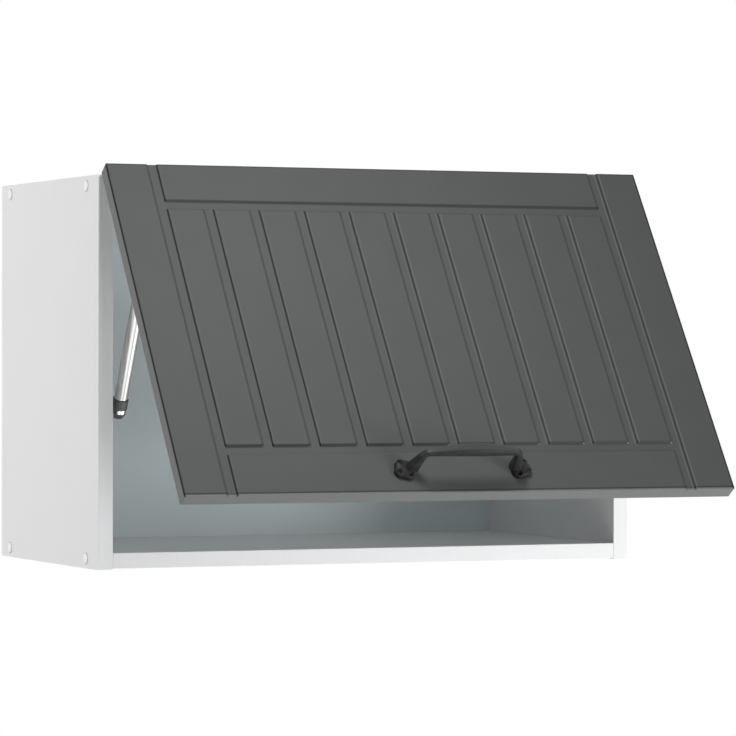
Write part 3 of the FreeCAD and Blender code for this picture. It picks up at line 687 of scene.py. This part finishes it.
# %% The ring at a station
def station_matrix(index):
    """The place, turn and size of the ring at a station."""
    x, y, radius = stations[index]
    before = stations[max(index - 1, 0)]
    after = stations[min(index + 1, len(stations) - 1)]
    turn = math.atan2(after[1] - before[1], after[0] - before[0])
    return (Matrix.Translation((x, y, handle_line)) @ Matrix.Rotation(turn, 4, "Z")
            @ Matrix.Rotation(math.pi / 2, 4, "Y") @ Matrix.Scale(radius, 4))


ring_sides = 16
ring_power = 6
ring_share = 0.90
bow = bmesh.new()
bmesh.ops.create_circle(bow, cap_ends=True, segments=ring_sides, radius=1.0)
for vert in bow.verts:
    spread = vert.co.x ** ring_power + vert.co.y ** ring_power
    vert.co *= ring_share / spread ** (1 / ring_power)
print("ring with", len(bow.verts), "points")

# %% Extruding the bow
bmesh.ops.transform(bow, matrix=station_matrix(0), verts=bow.verts)
ring = bow.edges[:]
for index in range(1, len(stations)):
    made = bmesh.ops.extrude_edge_only(bow, edges=ring)["geom"]
    ring = [item for item in made if isinstance(item, bmesh.types.BMEdge)]
    moved = [item for item in made if isinstance(item, bmesh.types.BMVert)]
    change = station_matrix(index) @ station_matrix(index - 1).inverted()
    bmesh.ops.transform(bow, matrix=change, verts=moved)
last_ring = [edge for edge in bow.edges if edge.is_boundary]
bmesh.ops.holes_fill(bow, edges=last_ring, sides=ring_sides)
bmesh.ops.recalc_face_normals(bow, faces=bow.faces)
smooth_faces(bow)
bmesh.ops.transform(bow, matrix=lifted, verts=bow.verts)
bow_handle = keep_piece(bow, "bow_handle", "door", ["handle_bow"], [black_iron])
casting = bow_handle.modifiers.new("casting", "SUBSURF")
casting.levels = 2
casting.render_levels = 2

# %% [markdown]
# ## Rosettes under the handle
# Each foot stands near the edge of a thick four-lobed plate with a pit in every lobe. The plate is
# nearly round, so it starts as a profile that is spun into a disc. Then each point is drawn out to
# the outline of the lobes, and sinks where a pit is. The left plate is the right one's mirror image.

# %% Sizes of a rosette
rosette_shift = 7.0 * mm
rosette_turn = math.radians(15.0)
lobe_radius = 6.2 * mm
lobe_offset = 5.8 * mm
waist_radius = 10.2 * mm
rosette_steps = 96
# Each point is a share of the outline's reach and a height in millimetres.
rosette_profile = [
    (0.0, 6.95), (0.2, 6.9), (0.32, 6.8), (0.42, 6.65), (0.49, 6.5), (0.55, 6.4),
    (0.60, 6.3), (0.65, 6.15), (0.70, 6.0), (0.75, 5.85), (0.80, 5.7), (0.85, 5.5),
    (0.90, 5.2), (0.94, 4.8), (0.98, 4.0), (1.0, 3.0), (1.0, 0.0),
]


def lobed_reach(angle):
    """How far the four-lobed outline lies from the middle at an angle from the first gap."""
    nearest = math.pi / 4 + math.pi / 2 * math.floor(angle / (math.pi / 2))
    off = angle - nearest
    side = lobe_offset * math.sin(off)
    return max(waist_radius, lobe_offset * math.cos(off) + math.sqrt(lobe_radius ** 2 - side ** 2))


print("rosette reaches", round(lobed_reach(math.pi / 4) / mm, 2), "mm at its lobes")

# %% Spinning a profile
merge_distance = 0.001 * mm


def spin_profile(bm, profile, axis, centre, steps):
    """Turns a row of points full circle about an axis."""
    points = [bm.verts.new(point) for point in profile]
    lines = [bm.edges.new(pair) for pair in zip(points, points[1:])]
    bmesh.ops.spin(bm, geom=points + lines, axis=axis, cent=centre, angle=2 * math.pi,
                   steps=steps, use_merge=True)
    bmesh.ops.remove_doubles(bm, verts=bm.verts, dist=merge_distance)


print("profiles can be spun")

# %% The pits
pit_offset = 8.2 * mm
pit_radius = 2.8 * mm
pit_depth = 3.2 * mm
pit_power = 0.8
top_starts = 2.0 * mm


def sink_pits(vert):
    """Lowers a point on the top of the plate where it lies in a pit."""
    for quarter in range(4):
        turn = math.pi / 4 + quarter * math.pi / 2
        pit = Vector((math.cos(turn), math.sin(turn))) * pit_offset
        near = (vert.co.xy - pit).length / pit_radius
        if near < 1 and vert.co.z > top_starts:
            vert.co.z -= pit_depth * (1 - near ** 2) ** pit_power


print("pits", pit_depth / mm, "mm deep")


# %% Both rosettes
def rosette_mesh(sign):
    """A rosette on the lifted door's face."""
    bm = bmesh.new()
    profile = [(share, 0.0, rise * mm) for share, rise in rosette_profile]
    spin_profile(bm, profile, (0, 0, 1), (0, 0, 0), rosette_steps)
    for vert in bm.verts:
        reach = lobed_reach(math.atan2(vert.co.y, vert.co.x))
        vert.co.x *= reach
        vert.co.y *= reach
        sink_pits(vert)
    right_plate = Matrix.Translation((rosette_shift, 0.0, 0.0)) @ Matrix.Rotation(rosette_turn, 4, "Z")
    bmesh.ops.transform(bm, matrix=right_plate, verts=bm.verts)
    bmesh.ops.scale(bm, vec=(sign, 1.0, 1.0), verts=bm.verts)
    bmesh.ops.recalc_face_normals(bm, faces=bm.faces)
    smooth_faces(bm)
    foot = (sign * handle_half_spacing, door_front, handle_line)
    stand = Matrix.Translation(foot) @ Matrix.Rotation(math.pi / 2, 4, "X")
    bmesh.ops.transform(bm, matrix=lifted @ stand, verts=bm.verts)
    return bm


for side, sign in (("left", -1), ("right", 1)):
    rosette = rosette_mesh(sign)
    nodes = [side + "_handle_rosette"]
    keep_piece(rosette, side + "_rosette", "door", nodes, [black_iron])

# %% [markdown]
# ## Screw caps
# White plastic caps cover the assembly screws on the outside of the box. Each is a low dome with a
# rolled rim: a profile spun about the screw's axis, which is simpler than shaping a sphere. Painted shade
# greys the rim. The four caps of a side lie alike about the side's middle, so folding the coordinates there
# gives one distance from the nearest cap's middle, and the finish follows that.

# %% White plastic
cap_depths = (-277.5 * mm, -32.0 * mm)
cap_height = 190.0 * mm
rim_shade_starts = 4.6 * mm
rim_shade_ends = 6.0 * mm
white_plastic, place = start_finish("white_plastic")
skin = noise(place, 700.0)
middle_depth = sum(cap_depths) / 2
off_depth = (coordinate(place, "Y") - middle_depth).away() - (cap_depths[1] - middle_depth)
off_height = coordinate(place, "Z").away() - cap_height
off_middle = place.maths("SQRT", off_depth * off_depth + off_height * off_height)
dome = blend(place, skin, (0.93, 0.93, 0.925, 1.0), (0.96, 0.96, 0.955, 1.0))
# The grey ring at the rim is painted shade.
end_finish(place, {
    "Base Color": blend(place, off_middle.step(rim_shade_starts, rim_shade_ends), dome, grey(0.42)),
    "Roughness": 0.26 + 0.10 * skin,
    "Normal": bumped(place, skin, 0.03 * mm),
})
print("white plastic")

# %% The caps of each side
# Each point is a radius and a height above the board, in millimetres.
cap_profile = [(0.0, 1.0), (2.6, 0.96), (4.4, 0.82), (5.4, 0.62), (6.0, 0.36), (6.25, 0.12), (6.3, 0.0)]
cap_places = [(y, z) for y in cap_depths for z in (cap_height, -cap_height)]
cap_steps = 40
side_face = 300.0 * mm
for side, sign in (("left", -1), ("right", 1)):
    wall = sign * side_face
    caps = bmesh.new()
    for y, z in cap_places:
        profile = [(wall + sign * rise * mm, y + radius * mm, z) for radius, rise in cap_profile]
        spin_profile(caps, profile, (1, 0, 0), (wall, y, z), cap_steps)
    rims = [edge for edge in caps.edges if edge.is_boundary]
    bmesh.ops.holes_fill(caps, edges=rims, sides=cap_steps)
    bmesh.ops.recalc_face_normals(caps, faces=caps.faces)
    for face in caps.faces:
        face.smooth = len(face.verts) < cap_steps
    nodes = [side + "_screw_caps"]
    keep_piece(caps, side + "_caps", "carcass", nodes, [white_plastic])

# %% [markdown]
# ## Edge bands
# The boards' front edges carry a thin white band whose arrises are scraped round after gluing. A cube
# the size of the solid, with the edges of its front face bevelled, shows the bright thread of light
# along them.

# %% Bevelled bands
band_arris = 0.5 * mm
for name in ("left_side", "right_side", "top", "bottom"):
    low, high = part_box(name + "_edging")
    band = bmesh.new()
    bmesh.ops.create_cube(band, size=1.0)
    bmesh.ops.scale(band, vec=high - low, verts=band.verts)
    bmesh.ops.translate(band, vec=(low + high) / 2, verts=band.verts)
    front = [edge for edge in band.edges if all(vert.co.y < low.y + nearby for vert in edge.verts)]
    bmesh.ops.bevel(band, geom=front, offset=band_arris, offset_type="OFFSET", segments=3, profile=0.5,
                    affect="EDGES", material=-1)
    keep_piece(band, name + "_band", "carcass", [name + "_edging"], [white_edging])

# %% [markdown]
# ## Metals and plastics of the fittings
# The hinges, brackets and screws are zinc-plated, the strut's rod and clip are bright steel, its tube
# has a silver coat, and its sockets are black moulded plastic. The bumpers are clear soft dots. Each
# finish is a base colour with its own fine irregularity: spangle for zinc, drawn lines for the rod,
# flakes for the tube, grain for the mouldings and haze for the dots.

# %% Zinc plate
zinc_steel, place = start_finish("zinc_steel")
spangle = place.node("ShaderNodeTexVoronoi", {}, {"Vector": place, "Scale": 420.0}, output="Color")
stain = noise(place, 60.0)
zinc = blend(place, stain, (0.56, 0.57, 0.59, 1.0), (0.68, 0.68, 0.66, 1.0))
end_finish(place, {
    "Base Color": blend(place, 0.12, zinc, spangle),
    "Metallic": 1.0,
    "Roughness": 0.28 + 0.14 * stain,
    "Normal": bumped(place, noise(place, 800.0), 0.03 * mm),
})
print("zinc plate")

# %% Bright steel and the silver tube
bright_steel, place = start_finish("bright_steel")
drawn = noise(stretched(place, (2600.0, 120.0, 120.0)), 1.0, 3.0)
end_finish(place, {
    "Base Color": blend(place, drawn, (0.74, 0.745, 0.75, 1.0), grey(0.84)),
    "Metallic": 1.0,
    "Roughness": 0.12 + 0.12 * drawn,
})

silver_tube, place = start_finish("silver_tube")
flakes = noise(place, 2200.0)
end_finish(place, {
    "Base Color": blend(place, flakes, (0.64, 0.64, 0.635, 1.0), (0.72, 0.72, 0.71, 1.0)),
    "Metallic": 0.6,
    "Roughness": 0.13 + 0.10 * flakes,
})
print("bright steel and silver tube")

# %% Moulded plastic and clear dots
black_plastic, place = start_finish("black_plastic")
grain = noise(place, 1300.0)
end_finish(place, {
    "Base Color": blend(place, grain, (0.080, 0.081, 0.082, 1.0), (0.105, 0.106, 0.107, 1.0)),
    "Roughness": 0.36 + 0.16 * grain,
    "Normal": bumped(place, grain, 0.05 * mm),
})

bumper, place = start_finish("bumper")
haze = noise(place, 500.0)
end_finish(place, {
    "Base Color": blend(place, haze, (0.70, 0.71, 0.71, 1.0), (0.80, 0.80, 0.79, 1.0)),
    "Roughness": 0.22 + 0.15 * haze,
    "Transmission Weight": 0.5,
    "IOR": 1.46,
})
print("plastics")

# %% [markdown]
# ## Finishes for the frame's own pieces
# Every other piece keeps the shape of its solid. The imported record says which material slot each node
# has, so one table from slot to finish dresses them all.

# %% Dressing the nodes
finishes = {
    "white_board": white_board,
    "white_edging": white_edging,
    "hardboard": hardboard,
    "door_film": door_film,
    "black_iron": black_iron,
    "zinc_steel": zinc_steel,
    "bright_steel": bright_steel,
    "silver_tube": silver_tube,
    "black_plastic": black_plastic,
    "white_plastic": white_plastic,
    "bumper": bumper,
}
for subpart in frame["record"]["subparts"]:
    for slot in frame["nodes"][subpart["node"]].material_slots:
        slot.material = finishes[subpart["material_slot"]]

# %% [markdown]
# ## The camera
# The photograph's perspective is that of a long lens, a little over four metres away and level with
# the cabinet. Its focal length in pixels and its turn were found by fitting the box's and the door's
# corners, and the picture is taken as 736 pixels wide.

# %% A camera at the photographed viewpoint
picture_width = 736.0
focal_pixels = 3927.17
camera_pitch = -0.0038214
camera_roll = -0.0012738
camera_heading = -0.4095106
camera_data = bpy.data.cameras.new("viewpoint")
camera_data.sensor_width = 36.0
camera_data.lens = camera_data.sensor_width * focal_pixels / picture_width
camera = bpy.data.objects.new("viewpoint", camera_data)
camera.location = (-1.63004, -4.06318, 0.01991)
camera.rotation_euler = (math.pi / 2 + camera_pitch, camera_roll, camera_heading)
scene.collection.objects.link(camera)
scene.camera = camera
print("lens", round(camera_data.lens, 2), "mm")

# %% [markdown]
# ## Floor and sky
# The photograph has a plain white ground. The sky is white for the camera and for reflections, and a
# calmer level lights the object. A pale floor lies well below the hung cabinet, out of the picture,
# where it takes the shadow and throws some light up again. It glows a little for the camera, so that
# it passes into the sky without a hard line.


# %% Rays that are seen
def seen_rays(tree):
    """1 on rays from the camera, also by way of a mirror or through glass."""
    rays = tree.nodes.new("ShaderNodeLightPath")
    kinds = ("Is Camera Ray", "Is Glossy Ray", "Is Transmission Ray")
    straight, mirrored, through = [Wire(tree, rays.outputs[kind]) for kind in kinds]
    return (straight + mirrored + through).lesser(1.0)


print("seen rays can be told apart")

# %% The floor's finish
floor_glow = 0.7
floor_finish, place = start_finish("pale_floor")
dust = noise(place, 6.0, 3.0)
paint = place.node("ShaderNodeBsdfPrincipled", {}, {
    "Base Color": blend(place, dust, grey(0.78), grey(0.82)),
    "Roughness": 0.7 + 0.1 * dust,
})
glow = place.node("ShaderNodeEmission", {}, {"Color": grey(1.0), "Strength": 1.0})
seen_glow = seen_rays(place.tree) * floor_glow
floor_surface = place.node("ShaderNodeMixShader", {}, {0: seen_glow, 1: paint, 2: glow})
place.node("ShaderNodeOutputMaterial", {}, {"Surface": floor_surface})
print("floor glows by", floor_glow)

# %% A pale floor
floor_radius = 2.2
floor_sides = 96
floor_place = Matrix.Translation((0.0, -0.25, -1.7))
ground = bmesh.new()
bmesh.ops.create_circle(ground, cap_ends=True, segments=floor_sides, radius=floor_radius,
                        matrix=floor_place)
floor_mesh = bpy.data.meshes.new("floor")
ground.to_mesh(floor_mesh)
ground.free()
floor_mesh.materials.append(floor_finish)
floor = bpy.data.objects.new("floor", floor_mesh)
scene.collection.objects.link(floor)
floor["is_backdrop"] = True
print("floor", 2 * floor_radius, "m wide")

# %% A white sky
ambient = 0.1
sky = bpy.data.worlds.new("white_sky")
sky.use_nodes = True
sky.node_tree.nodes.clear()
strength = ambient + (1.0 - ambient) * seen_rays(sky.node_tree)
background = strength.node("ShaderNodeBackground", {}, {"Color": grey(1.0), "Strength": strength})
background.node("ShaderNodeOutputWorld", {}, {"Surface": background})
scene.world = sky
print("sky at", ambient)

# %% [markdown]
# ## Lamps
# Six soft lamps stand round the cabinet. The key above the front models the lifted door and throws the
# handle's shadow. It is narrow, because a wide one would shine past the door and blur the box's front
# edge. The lamp at the left and back lights the white side, and one at the right fills the front edges.
# Three low ones reach under the door. A lamp's level is the share of full daylight that it gives at its
# target, so colours come out as written.


# %% Soft lamps
def soft_lamp(name, stand, target, size, level, width=None):
    """A lamp aimed at a point, square or narrower, at a share of the plain level there."""
    reach = Vector(target) - Vector(stand)
    data = bpy.data.lights.new(name, "AREA")
    data.shape = "RECTANGLE"
    data.size = width or size
    data.size_y = size
    data.energy = level * math.pi ** 2 * reach.length_squared
    lamp = bpy.data.objects.new(name, data)
    lamp.location = stand
    lamp.rotation_euler = reach.to_track_quat("-Z", "Y").to_euler()
    scene.collection.objects.link(lamp)
    print(name, round(data.energy, 1), "W")


under_door = (0.0, -0.32, -0.15)
soft_lamp("key", (-0.25, -0.9, 0.6), (0.0, -0.42, 0.05), size=0.35, level=0.79, width=0.08)
soft_lamp("left_back", (-2.4, 0.5, 0.5), (-0.3, -0.15, 0.0), size=1.4, level=0.82)
soft_lamp("right_front", (1.7, -2.7, -0.35), (0.1, -0.3, -0.15), size=1.0, level=0.35)
soft_lamp("front_low", (0.9, -1.5, -1.1), under_door, size=0.6, level=0.24)
soft_lamp("low_right", (0.7, -0.9, -0.9), under_door, size=0.8, level=0.23)
soft_lamp("low_left", (-0.6, -1.0, -0.9), under_door, size=0.8, level=0.17)
scene.view_settings.view_transform = "Standard"

# %% [markdown]
# ## Sizes and the end
# The box of the visual model is measured and printed.

# %% Measure the visual box
low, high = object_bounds()
print("visual box", [round(value, 4) for value in high - low])
